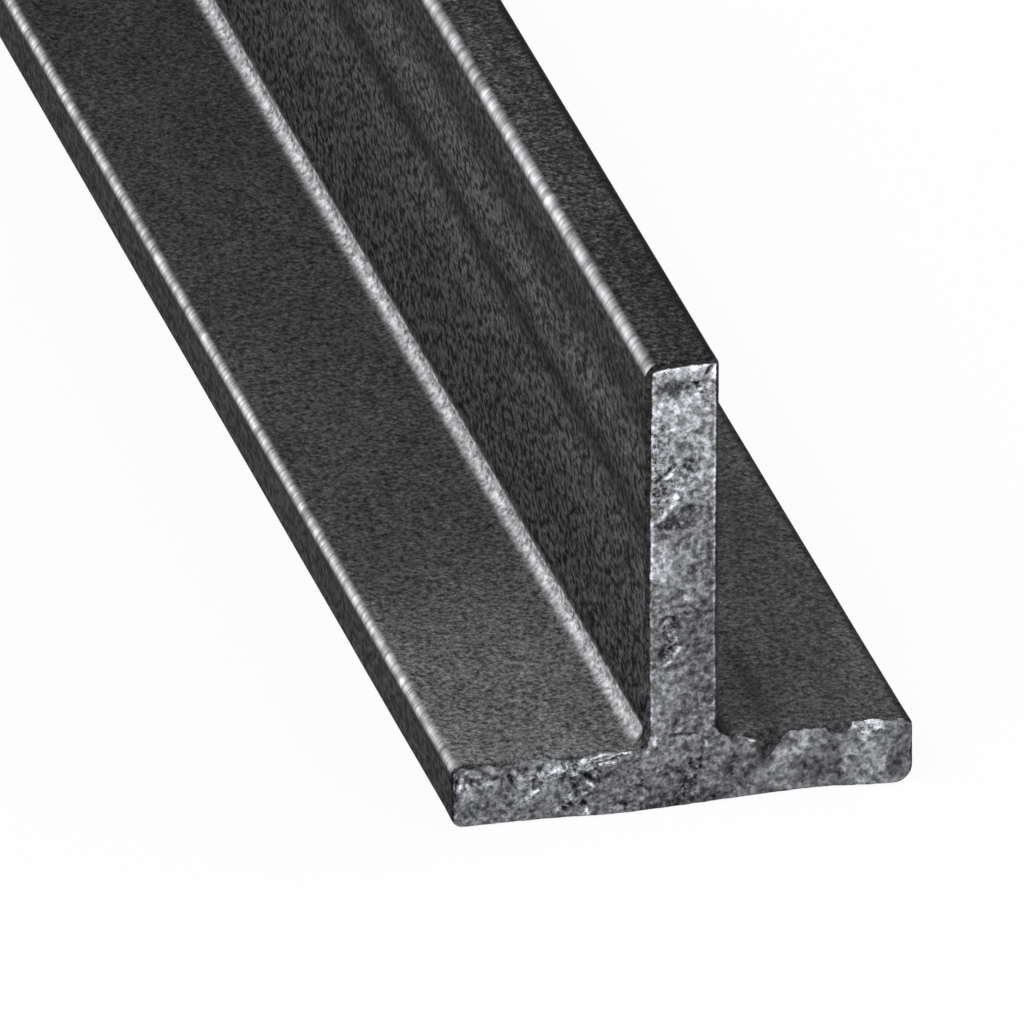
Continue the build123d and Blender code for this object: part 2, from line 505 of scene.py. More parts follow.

# %% Lips and splinters, painted bright as highlights where they catch the light
lips_and_splinters = (
    # the web, from the top down
    (((-1.2, 20.47), (0.13, 20.32)), 0.12, -0.02, 0.3, 0.2),
    (((-0.98, 20.39), (-0.69, 20.3)), 0.12, -0.02, 0.45, 0.0),
    (((0.37, 20.27), (1.15, 20.4)), 0.09, -0.02, 0.35, 0.3),
    (((1.33, 20.21), (1.28, 19.82)), 0.08, -0.02, 0.95, 0.0),
    (((-1.14, 19.02), (-1.01, 18.52)), 0.14, 0.0, 0.5, 0.0),
    (((-0.46, 18.85), (-0.2, 18.2)), 0.16, 0.0, 0.5, 0.0),
    (((-0.62, 17.58), (-0.33, 17.55)), 0.09, -0.02, 0.8, 0.0),
    (((0.6, 15.44), (0.74, 15.19)), 0.07, -0.02, 0.7, 0.0),
    (((0.45, 15.42), (0.71, 15.24)), 0.1, -0.02, 0.55, 0.4),
    (((-0.68, 15.36), (-0.25, 15.7)), 0.09, -0.06, 1.0, 0.0),
    (((-0.07, 15.28), (-0.03, 15.22)), 0.09, -0.04, 0.9, 0.0),
    (((-0.23, 14.84), (-0.03, 14.82)), 0.09, -0.04, 1.0, 0.0),
    (((-0.25, 14.48), (-0.36, 14.2), (-0.61, 13.82), (-1.01, 13.49), (-1.37, 13.26)), 0.09, -0.05, 1.1, 0.0),
    (((-0.06, 9.55), (0.32, 9.71)), 0.08, -0.03, 0.8, 0.0),
    (((-0.83, 8.59), (-0.76, 8.59)), 0.07, 0.0, 1.1, 0.0),
    (((-0.6, 8.0), (-0.51, 7.99)), 0.07, 0.0, 0.9, 0.0),
    (((-0.31, 7.76), (-0.17, 7.94)), 0.06, 0.0, 1.0, 0.0),
    (((-0.11, 7.43), (-0.42, 6.94), (-0.83, 6.71)), 0.08, -0.05, 0.8, 0.0),
    (((0.86, 6.51), (0.84, 6.16), (1.01, 6.0)), 0.05, 0.0, 0.4, 0.0),
    (((1.25, 4.17), (1.3, 3.93)), 0.1, 0.0, 0.4, 0.0),
    (((-0.14, 3.95), (-0.01, 4.07)), 0.07, -0.03, 0.6, 0.0),
    (((-0.36, 3.55), (-0.12, 3.71)), 0.06, -0.03, 0.55, 0.0),
    (((1.03, 3.4), (1.21, 3.61)), 0.08, -0.02, 0.5, 0.0),
    # the flange, from left to right
    (((-9.5, 2.26), (-9.74, 1.71)), 0.07, -0.03, 1.4, 0.0),
    (((-9.34, 2.52), (-9.07, 2.43)), 0.1, -0.02, 0.46, 0.0),
    (((-9.31, 2.02), (-9.17, 1.5)), 0.07, -0.03, 1.55, 0.0),
    (((-7.02, 2.07), (-6.49, 2.09)), 0.07, -0.04, 1.24, 0.0),
    (((-6.59, 1.27), (-6.0, 1.58)), 0.09, -0.03, 1.55, 0.3),
    (((-6.26, 2.14), (-6.08, 1.91)), 0.08, -0.02, 0.7, 0.4),
    (((-5.83, 2.17), (-5.6, 2.29), (-5.42, 2.18)), 0.07, -0.04, 1.32, 0.0),
    (((-5.49, 0.42), (-5.21, 0.63), (-4.98, 0.57)), 0.06, -0.04, 1.32, 0.0),
    (((-5.3, 2.33), (-5.12, 2.38)), 0.14, -0.06, 1.7, 0.0),
    (((-4.89, 1.11), (-4.71, 0.95)), 0.09, -0.03, 0.78, 0.0),
    (((-4.89, 0.96), (-4.71, 1.19)), 0.12, -0.04, 0.54, 0.0),
    (((-4.78, 2.02), (-4.65, 2.11)), 0.09, -0.04, 1.4, 0.0),
    (((-4.39, 2.68), (-3.89, 2.76), (-3.46, 2.87), (-2.89, 2.85)), 0.035, -0.04, 1.15, 0.0),
    (((-4.35, 2.63), (-4.24, 2.63)), 0.08, -0.04, 1.4, 0.0),
    (((-4.32, 1.15), (-4.16, 1.2)), 0.08, -0.03, 1.55, 0.0),
    (((-4.31, 0.21), (-4.21, 0.43), (-4.14, 0.18)), 0.05, -0.03, 1.7, 0.0),
    (((-4.13, 2.17), (-3.76, 2.39), (-3.28, 2.54), (-2.95, 2.57)), 0.04, -0.04, 1.7, 0.0),
    (((-4.13, 1.65), (-3.9, 1.45)), 0.08, -0.04, 1.55, 0.0),
    (((-3.89, 2.58), (-3.37, 2.69), (-2.71, 2.84), (-2.31, 2.87)), 0.035, -0.05, 1.15, 0.0),
    (((-3.5, 2.28), (-3.24, 2.38), (-2.98, 2.51)), 0.04, -0.03, 1.55, 0.0),
    (((-3.17, 0.51), (-2.83, 0.32), (-2.38, 0.36)), 0.06, -0.02, 0.6, 0.0),
    (((-3.13, 0.44), (-2.89, 0.7)), 0.05, -0.02, 0.62, 0.0),
    (((-2.21, 0.16), (-2.07, 0.23)), 0.06, -0.02, 0.6, 0.0),
    (((-0.28, 0.46), (0.12, 0.85), (0.29, 1.19), (0.63, 1.45)), 0.05, -0.03, 0.65, 0.0),
    (((0.21, 0.47), (0.61, 0.6), (0.74, 0.76)), 0.07, -0.03, 0.85, 0.0),
    (((0.99, 2.45), (1.07, 2.82)), 0.07, -0.03, 0.65, 0.0),
    (((2.43, 2.86), (2.75, 2.76), (3.2, 2.59)), 0.035, -0.03, 1.05, 0.0),
    (((2.9, 2.68), (3.46, 2.56)), 0.035, -0.02, 0.5, 0.0),
    (((3.93, 1.11), (4.27, 1.46)), 0.16, -0.03, 0.45, 0.2),
    (((4.06, 1.87), (5.07, 1.95)), 0.14, -0.03, 0.5, 0.2),
    (((4.84, 2.56), (5.0, 2.6)), 0.12, -0.03, 0.55, 0.3),
    (((5.35, 2.75), (5.4, 2.07)), 0.16, -0.02, 0.4, 0.0),
    (((7.3, 1.56), (8.0, 1.6)), 0.1, -0.02, 0.4, 0.2),
    (((7.78, 0.39), (8.71, 0.91)), 0.14, -0.02, 0.4, 0.2),
)
print("lips and splinters", len(lips_and_splinters))

# %% All strokes on the near cut
near_strokes = broad_tones + rough_patches + cracks_and_pits + lips_and_splinters
print("strokes on the near cut", len(near_strokes))

# %% Strokes on the far cut, which the photograph doesn't show: fewer, and of the same kinds
far_strokes = (
    (((0.35, 12.4), (0.60, 11.4)), 0.55, 0.16, -0.10, 0.9),
    (((1.00, 12.2), (0.95, 11.2), (0.40, 10.6)), 0.09, -0.05, 0.90, 0.0),
    (((-0.90, 17.8), (0.30, 17.2)), 0.40, 0.05, -0.20, 0.7),
    (((-0.55, 6.40), (-0.25, 6.10)), 0.14, 0.12, -0.70, 0.0),
    (((-1.20, 9.00), (-0.80, 7.60)), 0.35, 0.0, 0.25, 0.0),
    (((2.80, 1.10), (3.90, 1.80)), 0.09, 0.10, -0.70, 0.2),
    (((-5.40, 0.80), (-3.90, 1.50)), 0.25, 0.08, -0.20, 0.8),
    (((5.90, 2.50), (7.80, 2.35)), 0.12, -0.06, 0.80, 0.7),
    (((-8.60, 1.60), (-8.10, 1.20)), 0.35, 0.10, -0.20, 0.6),
)
print("strokes on the far cut", len(far_strokes))


# %% Draw a stroke
broad_stroke = 0.3
least_inside = 0.014


def stroke_share(across, up, places, half_width):
    """How much of a stroke lies at each place: 1 on its line, falling softly to 0 beside it."""
    gap = np.full(len(across), 1e9)
    spot = np.stack([across, up], axis=1)
    for start, end in zip(np.array(places[:-1]), np.array(places[1:])):
        run = end - start
        along = np.clip((spot - start) @ run / (run @ run), 0, 1)
        gap = np.minimum(gap, np.linalg.norm(spot - start - along[:, None] * run, axis=1))
    return np.exp(-((gap / half_width) ** 2))


def shaken(value, across, up, seed):
    """Moves a place by a few hundredths of a millimetre, so that a stroke's edge is ragged."""
    return value + 0.04 * noise_at(across, up, seed, 2.4) + 0.035 * noise_at(across, up, seed + 1, 7.0)


# %% Tear both ends
ease = np.clip(inset / crop_edge_radius, 0, 1)
ease = ease * ease * (3 - 2 * ease)
reached_from = net_edge - 2.0
close_to_end = np.clip((np.abs(points[:, 1]) - reached_from) / (strip_behind_cut + 1.5), 0, 1)
inward = np.zeros(point_count)
torn_tone = np.zeros(point_count)
torn_rough = np.zeros(point_count)
for end, strokes, seed in ((-1, near_strokes, 3.7), (1, far_strokes, 19.2)):
    here = np.flatnonzero(points[:, 1] * end > reached_from)
    across = points[here, 0] * -end
    up = points[here, 2]
    shaken_across = shaken(across, across, up, seed + 5)
    shaken_up = shaken(up, across, up, seed + 9)
    broken = np.clip(1 + 0.9 * noise_at(across, up, seed + 7, 4.5), 0.55, 1.6)
    sunk = np.zeros(len(here))
    for places, half_width, depth, tone, roughness in strokes:
        share = stroke_share(shaken_across, shaken_up, places, half_width)
        if half_width <= broad_stroke:
            share = share * broken
        sunk += depth * share
        torn_tone[here] += tone * share
        torn_rough[here] = np.maximum(torn_rough[here], roughness * share)
    knob = noise_at(across, up, seed + 2, 2.6)
    grit = noise_at(across, up, seed + 3, 5.2)
    lumps = 0.10 * noise_at(across, up, seed, 0.36) + 0.08 * noise_at(across, up, seed + 1, 1.15)
    lumps += (0.035 + 0.05 * torn_rough[here]) * knob + (0.012 + 0.04 * torn_rough[here]) * grit
    nicks = 0.02 * (1 + grit) + 0.04 * (1 - ease[here]) * noise_at(across, up, seed + 4, 1.9)
    inward[here] = close_to_end[here] * (crop_wave(across) + nicks) + ease[here] * (lumps + sunk)
    inward[here] = np.maximum(inward[here], least_inside * close_to_end[here])
    print("end", end, "lies", round(float(inward[here].max()), 2), "mm inside at its deepest")

# %% [markdown]
# ## The skin's slow waves
#
# Hot rolling never leaves a dead flat face. The web has shallow valleys that run along the bar, and all
# the skin rises and falls a little. The waves only ever go inwards, so the bar keeps its measured size
# and still lies flat on its underside.
#
# The shear has also pushed the web over by a few hundredths of a millimetre. Behind the cut the web
# leans to the right as it rises, and over the last few centimetres its left face swings back.

# %% Wave the skin
roll_depth = 0.016
ripple_depth = 0.006
web_valleys = ((13.3, 0.9, 0.06), (17.8, 0.8, 0.035), (8.6, 1.3, 0.03))
underside_share = 0.3
right_face_share = 0.6
lean_behind_cut = 0.035
lean_at_cut = 0.06
lean_reach = 35.0
lean_height = 17.0

skin_depth = np.zeros(point_count)
for index, (across, along, up) in enumerate(points):
    roll = noise.noise(Vector((across / 5.5, along / 13.0, up / 4.5)))
    ripple = noise.noise(Vector((across / 1.9, along / 4.2, up / 1.6 + 40.0)))
    skin_depth[index] = roll_depth * (1 + roll) + ripple_depth * (1 + ripple)
    if abs(outward[index, 0]) > 0.9 and abs(across) < half_web + 0.01:
        for height, half_width, deepest in web_valleys:
            wander = 0.35 * noise.noise(Vector((along / 22.0, height, 7.0)))
            fade = 0.75 + 0.5 * noise.noise(Vector((along / 16.0, height, 31.0)))
            skin_depth[index] += deepest * fade * math.exp(-(((up - height - wander) / half_width) ** 2))
skin_depth *= 1 - ease
skin_depth[outward[:, 2] < -0.9] *= underside_share
skin_depth[(outward[:, 0] > 0.5) & (np.abs(points[:, 0]) < half_web + 0.01)] *= right_face_share

near_share = np.clip(1 - (points[:, 1] + half_length) / lean_reach, 0, 1)
up_share = np.clip((points[:, 2] - flange_thickness - root_radius) / lean_height, 0, 1)
left_share = np.clip(0.5 - points[:, 0] / web_thickness, 0, 1)
lean = up_share * (lean_behind_cut * (1 - near_share) - lean_at_cut * left_share * near_share)

points -= outward * np.where(at_cut, 0.0, skin_depth)[:, None]
points[:, 1] -= np.sign(points[:, 1]) * inward
points[:, 0] += lean
print("skin sinks by up to", round(float(skin_depth.max()), 3), "mm")

# %% [markdown]
# ## Back to metres, with the bare steel marked
#
# The points go back into the mesh at a thousandth of the size. Three numbers are kept on each point for
# the finish. The first is how far in from the drawn-over skin it lies: the blade drags the dark skin over
# the edge of the web, wide on its left and top and narrow on its right, but hardly over the flange. The
# material turns to bare steel where the number is above nothing, so the ragged line between skin and
# tear is drawn by noise and not by faces. The other two are the tone and the roughness of the strokes.
#
# Three lines say how wide the skin is drawn over: one along the top of the flange, from left to right,
# and one up each side of the web. To the right of the web the skin dips into the cut in a pointed bite.

# %% How wide the skin is drawn over the cut
flange_line = (
    (-9.84, 0.17), (-9.17, 0.30), (-8.84, 0.22), (-8.57, 0.13), (-8.18, 0.18), (-7.50, 0.24), (-7.18, 0.09),
    (-6.80, 0.04), (-5.87, 0.08), (-5.41, 0.10), (-5.21, 0.19), (-4.44, 0.19), (-4.18, 0.10), (-3.40, 0.10),
    (-2.94, 0.04), (1.90, 0.08), (2.20, 0.15), (2.45, 0.14), (2.70, 0.08), (3.12, 0.22), (4.53, 0.25),
    (4.73, 0.12), (6.26, 0.15), (6.55, 0.46), (7.10, 0.38), (7.42, 0.03), (7.87, -0.02), (8.19, -0.20),
    (8.58, -0.22), (8.66, -0.03), (9.50, 0.01), (9.77, 0.15),
)
left_line = (
    (2.95, 0.07), (3.02, 0.10), (3.20, 0.26), (3.37, 0.17), (8.0, 0.145), (12.0, 0.17), (17.0, 0.23),
    (20.0, 0.26),
)
right_line = ((2.95, 0.14), (3.10, 0.17), (3.48, 0.20), (3.70, 0.16))
elsewhere_drawn = 0.05
flange_side_drawn = 0.10
web_top_drawn, web_top_left_radius = 0.22, 0.24
web_right_drawn, web_top_right_radius = 0.16, 0.12
bite_tip = (3.66, 1.62)
bite_left_reach, bite_right_reach = 0.42, 1.0
bite_middle, bite_limit = 3.9, 1.4
skin_margin = 0.04


def along_line(place, line):
    """Reads a width off a line of (place, width) pairs."""
    return np.interp(place, [pair[0] for pair in line], [pair[1] for pair in line])


def inside_corner(across_gap, up_gap, radius):
    """How far inside a rounded corner a point lies, from its gaps to the corner's two sides."""
    square = np.minimum(across_gap, up_gap)
    round_part = radius - np.hypot(radius - across_gap, radius - up_gap)
    return np.where((across_gap < radius) & (up_gap < radius), round_part, square)


side_across, side_up = nearest_side.T
cut_across, cut_up = cut_places.T
drawn_over = np.full(len(nearest_side), elsewhere_drawn)
on_shelf = (side_up > flange_thickness - 0.45) & (side_up < flange_thickness + 0.02)
drawn_over[on_shelf] = along_line(cut_across, flange_line)[on_shelf]
drawn_over[np.abs(side_across) > half_flange - 0.05] = flange_side_drawn
on_web = side_up > flange_thickness + 0.02
up_the_web = np.where(side_across < 0, along_line(side_up, left_line), along_line(side_up, right_line))
drawn_over[on_web] = up_the_web[on_web]
bare_cut = nearest - drawn_over

top_gap = section_height - web_top_drawn - cut_up
left_gap = cut_across + half_web - along_line(cut_up, left_line)
right_gap = half_web - web_right_drawn - cut_across
bare_web = np.minimum(
    inside_corner(left_gap, top_gap, web_top_left_radius),
    inside_corner(right_gap, top_gap, web_top_right_radius),
)
bare_cut = np.where(cut_up > flange_thickness + root_radius, bare_web, bare_cut)

above_tip = (cut_up - bite_tip[1]) / (flange_thickness - bite_tip[1])
inside_bite = np.minimum(
    cut_across - bite_tip[0] + bite_left_reach * above_tip,
    bite_tip[0] + bite_right_reach * above_tip - cut_across,
)
on_near_flange = (points[at_cut][:, 1] < 0) & (cut_up < flange_thickness + 0.1)
in_reach = on_near_flange & (np.abs(cut_across - bite_middle) < bite_limit)
bare_cut = np.where(in_reach, np.minimum(bare_cut, -inside_bite), bare_cut)

bare = -skin_margin - behind_cut
bare[at_cut] = bare_cut
print("skin drawn over the cut by up to", round(float(drawn_over.max()), 2), "mm")

# %% Write the points and their numbers
bar_mesh.vertices.foreach_set("co", (points * 0.001).ravel())
for name, numbers in (("bare_steel_mm", bare), ("torn_tone", torn_tone), ("torn_rough", torn_rough)):
    layer = bar_mesh.attributes.new(name, "FLOAT", "POINT")
    layer.data.foreach_set("value", numbers)
bpy.ops.object.select_all(action="DESELECT")
tee_bar.select_set(True)
bpy.context.view_layer.objects.active = tee_bar
bpy.ops.object.shade_smooth()
bar_mesh.update()
print("size in metres", [round(value, 5) for value in tee_bar.dimensions])

# %% [markdown]
# ## Finishes
#
# One material covers the bar, because it is one piece of steel: mill scale outside and torn steel at the
# ends. Both read the bar's own coordinates, turned to millimetres, so the grain has its real size and
# stays put when the bar is moved.

# %% Tools for the finish
bar_finish = bpy.data.materials.new("mill_scale_and_torn_steel")
bar_finish.use_nodes = True
nodes = bar_finish.node_tree.nodes
links = bar_finish.node_tree.links
nodes.clear()


def node(kind, **settings):
    """Adds a shader node. Names in capitals are its properties, the rest are its inputs."""
    made = nodes.new("ShaderNode" + kind)
    for name, value in settings.items():
        if hasattr(made, name):
            setattr(made, name, value)
        else:
            plug(value, made.inputs[name.replace("_", " ")])
    return made


def plug(value, socket):
    """Links an output to a socket, or sets the socket to a plain value."""
    if isinstance(value, bpy.types.NodeSocket):
        links.new(value, socket)
    else:
        socket.default_value = value


def calc(operation, first, second=0.0, third=0.0):
    """One step of arithmetic."""
    made = nodes.new("ShaderNodeMath")
    made.operation = operation
    for socket, value in zip(made.inputs, (first, second, third)):
        plug(value, socket)
    return made.outputs[0]


def remap(value, low, high, to_low=0.0, to_high=1.0, smooth=False):
    """Moves a range of numbers onto another, and stops at its ends."""
    made = nodes.new("ShaderNodeMapRange")
    made.interpolation_type = "SMOOTHSTEP" if smooth else "LINEAR"
    for socket, number in zip(made.inputs, (value, low, high, to_low, to_high)):
        plug(number, socket)
    return made.outputs[0]


def blend(factor, first, second):
    """Mixes two colours."""
    made = nodes.new("ShaderNodeMix")
    made.data_type = "RGBA"
    plug(factor, made.inputs[0])
    plug(first, made.inputs[6])
    plug(second, made.inputs[7])
    return made.outputs[2]


def shade(colour, factor):
    """Multiplies a colour by a number."""
    made = nodes.new("ShaderNodeVectorMath")
    made.operation = "SCALE"
    plug(colour, made.inputs[0])
    plug(factor, made.inputs["Scale"])
    return made.outputs[0]


place = node("TexCoord")
facing = node("SeparateXYZ")
links.new(place.outputs["Normal"], facing.inputs[0])
in_mm = node("VectorMath", operation="SCALE")
links.new(place.outputs["Object"], in_mm.inputs[0])
in_mm.inputs["Scale"].default_value = 1000.0
where = node("SeparateXYZ")
links.new(in_mm.outputs[0], where.inputs[0])


def grain(size, detail=2.0, harshness=0.6, offset=0.0):
    """Noise whose features have this size in mm along X, Y and Z."""
    stretch = nodes.new("ShaderNodeMapping")
    stretch.inputs["Scale"].default_value = [1 / part for part in size]
    stretch.inputs["Location"].default_value = (offset, offset * 0.7, offset * 1.3)
    links.new(in_mm.outputs[0], stretch.inputs["Vector"])
    made = nodes.new("ShaderNodeTexNoise")
    made.inputs["Scale"].default_value = 1.0
    made.inputs["Detail"].default_value = detail
    made.inputs["Roughness"].default_value = harshness
    links.new(stretch.outputs["Vector"], made.inputs["Vector"])
    return made.outputs["Fac"]


def band(value, centre, spread):
    """A soft stripe: 1 at its centre, and nothing at about twice its spread."""
    away = calc("DIVIDE", calc("SUBTRACT", value, centre), spread)
    return calc("POWER", 2.718, calc("MULTIPLY", calc("MULTIPLY", away, away), -1.0))


def product(*factors):
    """Multiplies several numbers."""
    result = factors[0]
    for factor in factors[1:]:
        result = calc("MULTIPLY", result, factor)
    return result


def mix(factor, first, second):
    """Goes from the first number to the second."""
    return calc("MULTIPLY_ADD", factor, calc("SUBTRACT", second, first), first)


def laid_over(tone, pattern, strength):
    """Adds so much of a pattern to a tone."""
    return calc("MULTIPLY_ADD", pattern, strength, tone)


print("finish tools ready")

# %% [markdown]
# ## Mill scale
#
# Steel that cools from red heat grows a skin of dark grey oxide. It has a fine grain of about a quarter
# of a millimetre, specks of half that size on top, and slower clouds. It doesn't shine.

# %% The grain of the mill scale
scale_grain = grain((0.25, 0.27, 0.25), detail=2.0, harshness=0.6)
scale_specks = grain((0.12, 0.14, 0.12), detail=1.0, harshness=0.5, offset=11.0)
side_grain = grain((0.30, 0.47, 0.30), detail=1.5, harshness=0.6, offset=55.0)
clouds = grain((3.2, 7.0, 2.4), detail=2.0, harshness=0.5, offset=23.0)
bright_flecks = remap(grain((0.45, 0.45, 0.45), detail=3.0, harshness=0.7, offset=71.0), 0.68, 0.76, 0.0, 0.9)

flat_tone = product(remap(scale_grain, 0.3, 0.7, 0.26, 1.76), remap(scale_specks, 0.3, 0.7, 0.50, 1.50))
side_tone = product(remap(side_grain, 0.38, 0.64, 0.12, 2.08), remap(scale_specks, 0.3, 0.7, 0.45, 1.55))
print("mill scale drawn")

# %% [markdown]
# Much of the scale's tone is painted light and shade. Along the web the rolls left valleys: painted shade
# lies in them, with painted light on their sides, and painted shade also lies right beside each rounded
# corner, on the flange's side faces and on the web's top, darker towards a cut. On top of the flange painted
# light makes it paler over the last centimetres before a cut, more so on the left. The faces on the left
# have a coarser grain than the rest. On the right the flange is painted lighter, with one painted line of
# shade along the bar, and painted shade where it meets the cut.

# %% The tones of the mill scale, with painted light and shade
band_wander = remap(grain((9.0, 22.0, 9.0), detail=1.0, offset=3.0), 0.3, 0.7, -0.28, 0.28)
height = calc("ADD", where.outputs["Z"], band_wander)
on_side = remap(calc("ABSOLUTE", facing.outputs["X"]), 0.80, 0.95)
on_left_side = remap(facing.outputs["X"], -0.80, -0.95)
on_web_side = product(on_side, remap(calc("ABSOLUTE", where.outputs["X"]), 2.1, 1.9))
# Painted shade in the web's valleys, with painted light on their sides.
web_painted_shade = 0.86
for centre, spread, strength in (
    (5.2, 0.8, 0.07), (7.3, 1.1, -0.08), (11.3, 0.8, 0.12),
    (13.25, 0.8, -0.56), (15.9, 0.8, 0.20), (18.5, 1.3, -0.46),
):
    web_painted_shade = laid_over(web_painted_shade, band(height, centre, spread), strength)
# Painted shade lines right beside the web's top corners and beside its root.
for edge in (section_height - left_web_toe_radius - 0.12, flange_thickness + root_radius + 0.28):
    web_painted_shade = laid_over(web_painted_shade, band(where.outputs["Z"], edge, 0.17), -0.34)

on_top = remap(facing.outputs["Z"], 0.6, 0.9)
on_flange = product(on_top, remap(where.outputs["Z"], 4.0, 3.0))
on_web_top = product(on_top, remap(where.outputs["Z"], 19.9, 20.2))
from_middle = calc("ABSOLUTE", where.outputs["X"])
towards_end = calc("ABSOLUTE", where.outputs["Y"])
to_the_left = remap(where.outputs["X"], 1.0, -1.0)
# Painted light and shade on top of the flange: painted shade just beside the root, painted light growing
# towards each end and more so on the left, and on the right a shelf painted lighter, with a painted shade
# line along it, a lighter stripe near the root, and painted shade where it meets the cut.
shelf_painted_light = laid_over(0.92, band(from_middle, half_web + root_radius + 0.45, 0.45), -0.11)
shelf_painted_light = calc("ADD", shelf_painted_light, remap(towards_end, 430.0, 470.0, 0.0, 0.35))
painted_light_near_end = product(remap(towards_end, 475.0, 494.0, smooth=True), mix(to_the_left, 0.15, 1.5))
shelf_painted_light = calc("ADD", shelf_painted_light, painted_light_near_end)
painted_shade_line = band(where.outputs["X"], 4.15, 0.40)
right_shelf = remap(where.outputs["X"], 1.0, 3.0)
right_end = product(remap(towards_end, 492.0, 499.5), right_shelf)
shelf_painted_light = product(
    shelf_painted_light,
    laid_over(1.0, painted_shade_line, -0.32),
    laid_over(1.0, band(where.outputs["X"], 3.0, 0.35), 0.20),
    laid_over(1.0, right_shelf, 0.24),
    laid_over(1.0, right_end, -0.34),
)
# Painted shade: the top of the web is painted darker than the top of the flange, and darker still near a cut,
# with a lighter stripe towards its left corner and a darker one near its middle.
web_top_painted_shade = remap(towards_end, 484.0, 492.0, 0.60, 0.46)
web_top_painted_shade = laid_over(web_top_painted_shade, band(where.outputs["X"], 0.3, 0.25), -0.10)
web_top_painted_shade = laid_over(web_top_painted_shade, band(where.outputs["X"], -0.65, 0.35), 0.13)

# Painted shade on the flange's side faces, darkest just under the rounded top corner.
flange_side = remap(from_middle, half_flange - 0.15, half_flange - 0.08)
side_top = flange_thickness - left_flange_toe_radius
flange_side_painted_shade = laid_over(0.40, band(where.outputs["Z"], side_top - 0.15, 0.18), -0.18)
flange_side_painted_shade = laid_over(flange_side_painted_shade, band(where.outputs["Z"], 1.35, 0.16), -0.08)

flat_tone = calc("POWER", flat_tone, mix(on_web_top, 1.0, 1.6))
skin_tone = product(
    calc("ADD", mix(on_left_side, flat_tone, side_tone), bright_flecks),
    remap(clouds, 0.3, 0.7, 0.88, 1.12),
    mix(on_web_side, 1.0, web_painted_shade),
    mix(on_flange, 1.0, shelf_painted_light),
    mix(on_web_top, 1.0, web_top_painted_shade),
    mix(flange_side, 1.0, flange_side_painted_shade),
)
scale_colour = shade((0.0578, 0.0578, 0.0592), skin_tone)
print("tones laid over the scale")

# %% [markdown]
# ## The corners: painted highlights and painted shade
#
# The rounded corners on the left, at the toes and on the left of the root, carry a painted highlight: a
# pale, partly metallic band laid over the part of each rounding that would face a lamp behind the bar. It
# isn't even. Along the toes it lies in short ripples across the corner, and in the root it is a mottle of
# small cells. The corners on the right and the right of the root get painted shade instead, and the skin
# on the rounded rim of each cut is painted darker, more so up the web.

# %% Where the corner highlights are painted, and how
in_root = product(remap(from_middle, 2.6, 2.4), remap(where.outputs["Z"], 4.0, 3.8))
painted_highlight = product(
    remap(facing.outputs["X"], -0.16, -0.85, smooth=True),
    remap(calc("DIVIDE", facing.outputs["Z"], mix(in_root, 0.50, 0.30)), 0.0, 1.0, smooth=True),
    remap(calc("ABSOLUTE", facing.outputs["Y"]), 0.30, 0.12),
    mix(in_root, 1.0, remap(towards_end, half_length - 0.55, half_length - 0.95)),
)
ripples = grain((1.4, 0.28, 1.4), detail=2.5, harshness=0.7, offset=83.0)
beads = grain((2.0, 0.85, 2.0), detail=1.5, harshness=0.55, offset=47.0)
cells = grain((0.24, 0.34, 0.24), detail=2.0, harshness=0.6, offset=91.0)
toe_tone = product(remap(ripples, 0.32, 0.68, 0.42, 1.52), remap(beads, 0.3, 0.7, 0.50, 1.50))
root_tone = product(remap(cells, 0.32, 0.68, 0.35, 1.60), remap(beads, 0.3, 0.7, 0.85, 1.15))
painted_highlight_colour = shade((0.46, 0.462, 0.475), mix(in_root, toe_tone, root_tone))

# Painted shade along the right toes and in the right of the root, and on the skin over each cut's rounded
# rim.
web_shade = product(remap(where.outputs["X"], half_web - 0.60, half_web - 0.28), on_web_top)
flange_shade = remap(where.outputs["X"], half_flange - 0.52, half_flange - 0.24)
root_shade = product(remap(facing.outputs["X"], 0.02, 0.30), in_root)
shaded = product(mix(web_shade, 1.0, 0.14), mix(flange_shade, 1.0, 0.26), mix(root_shade, 1.0, 0.20))
at_rim = remap(calc("ABSOLUTE", facing.outputs["Y"]), 0.12, 0.45)
rim_shade = mix(at_rim, 1.0, remap(where.outputs["Z"], 3.5, 12.0, 0.95, 0.58))
skin_colour = blend(painted_highlight, shade(scale_colour, product(shaded, rim_shade)), painted_highlight_colour)
skin_metal = remap(painted_highlight, 0.0, 0.35, 0.0, 0.85)
skin_rough = remap(painted_highlight, 0.0, 1.0, 0.60, 0.50)
skin_relief = mix(on_side, product(scale_grain, 0.012), product(side_grain, 0.035))
skin_relief = calc("ADD", skin_relief, product(painted_highlight, mix(in_root, ripples, cells), 0.05))
skin_relief = calc("ADD", skin_relief, product(painted_highlight, beads, 0.06))
print("corners worn")

# %% [markdown]
# ## Torn steel
#
# The tear shows steel without its scale: blue-grey, bright, and broken up into grains that each throw
# the light another way. The grains are too fine for the mesh, so they are relief in the finish. Where a
# stroke is rough, the grains are coarser, harder and crossed by thin bright lips. On the right of the
# flange the tear is softer: its grains are flatter, and light and dark come in larger patches.

# %% Torn steel, colour and relief
grit = grain((0.15, 0.15, 0.15), detail=2.0, harshness=0.6, offset=5.0)
flakes = grain((0.26, 0.26, 0.26), detail=2.0, harshness=0.55, offset=37.0)
shards = grain((0.25, 0.25, 0.25), detail=2.0, harshness=0.6, offset=43.0)
patches = grain((1.3, 1.3, 1.6), detail=1.0, harshness=0.5, offset=61.0)
folds = grain((0.55, 0.55, 0.55), detail=2.0, harshness=0.6, offset=97.0)
lips = remap(calc("ABSOLUTE", calc("SUBTRACT", folds, 0.5)), 0.0, 0.045, 1.0, 0.0)

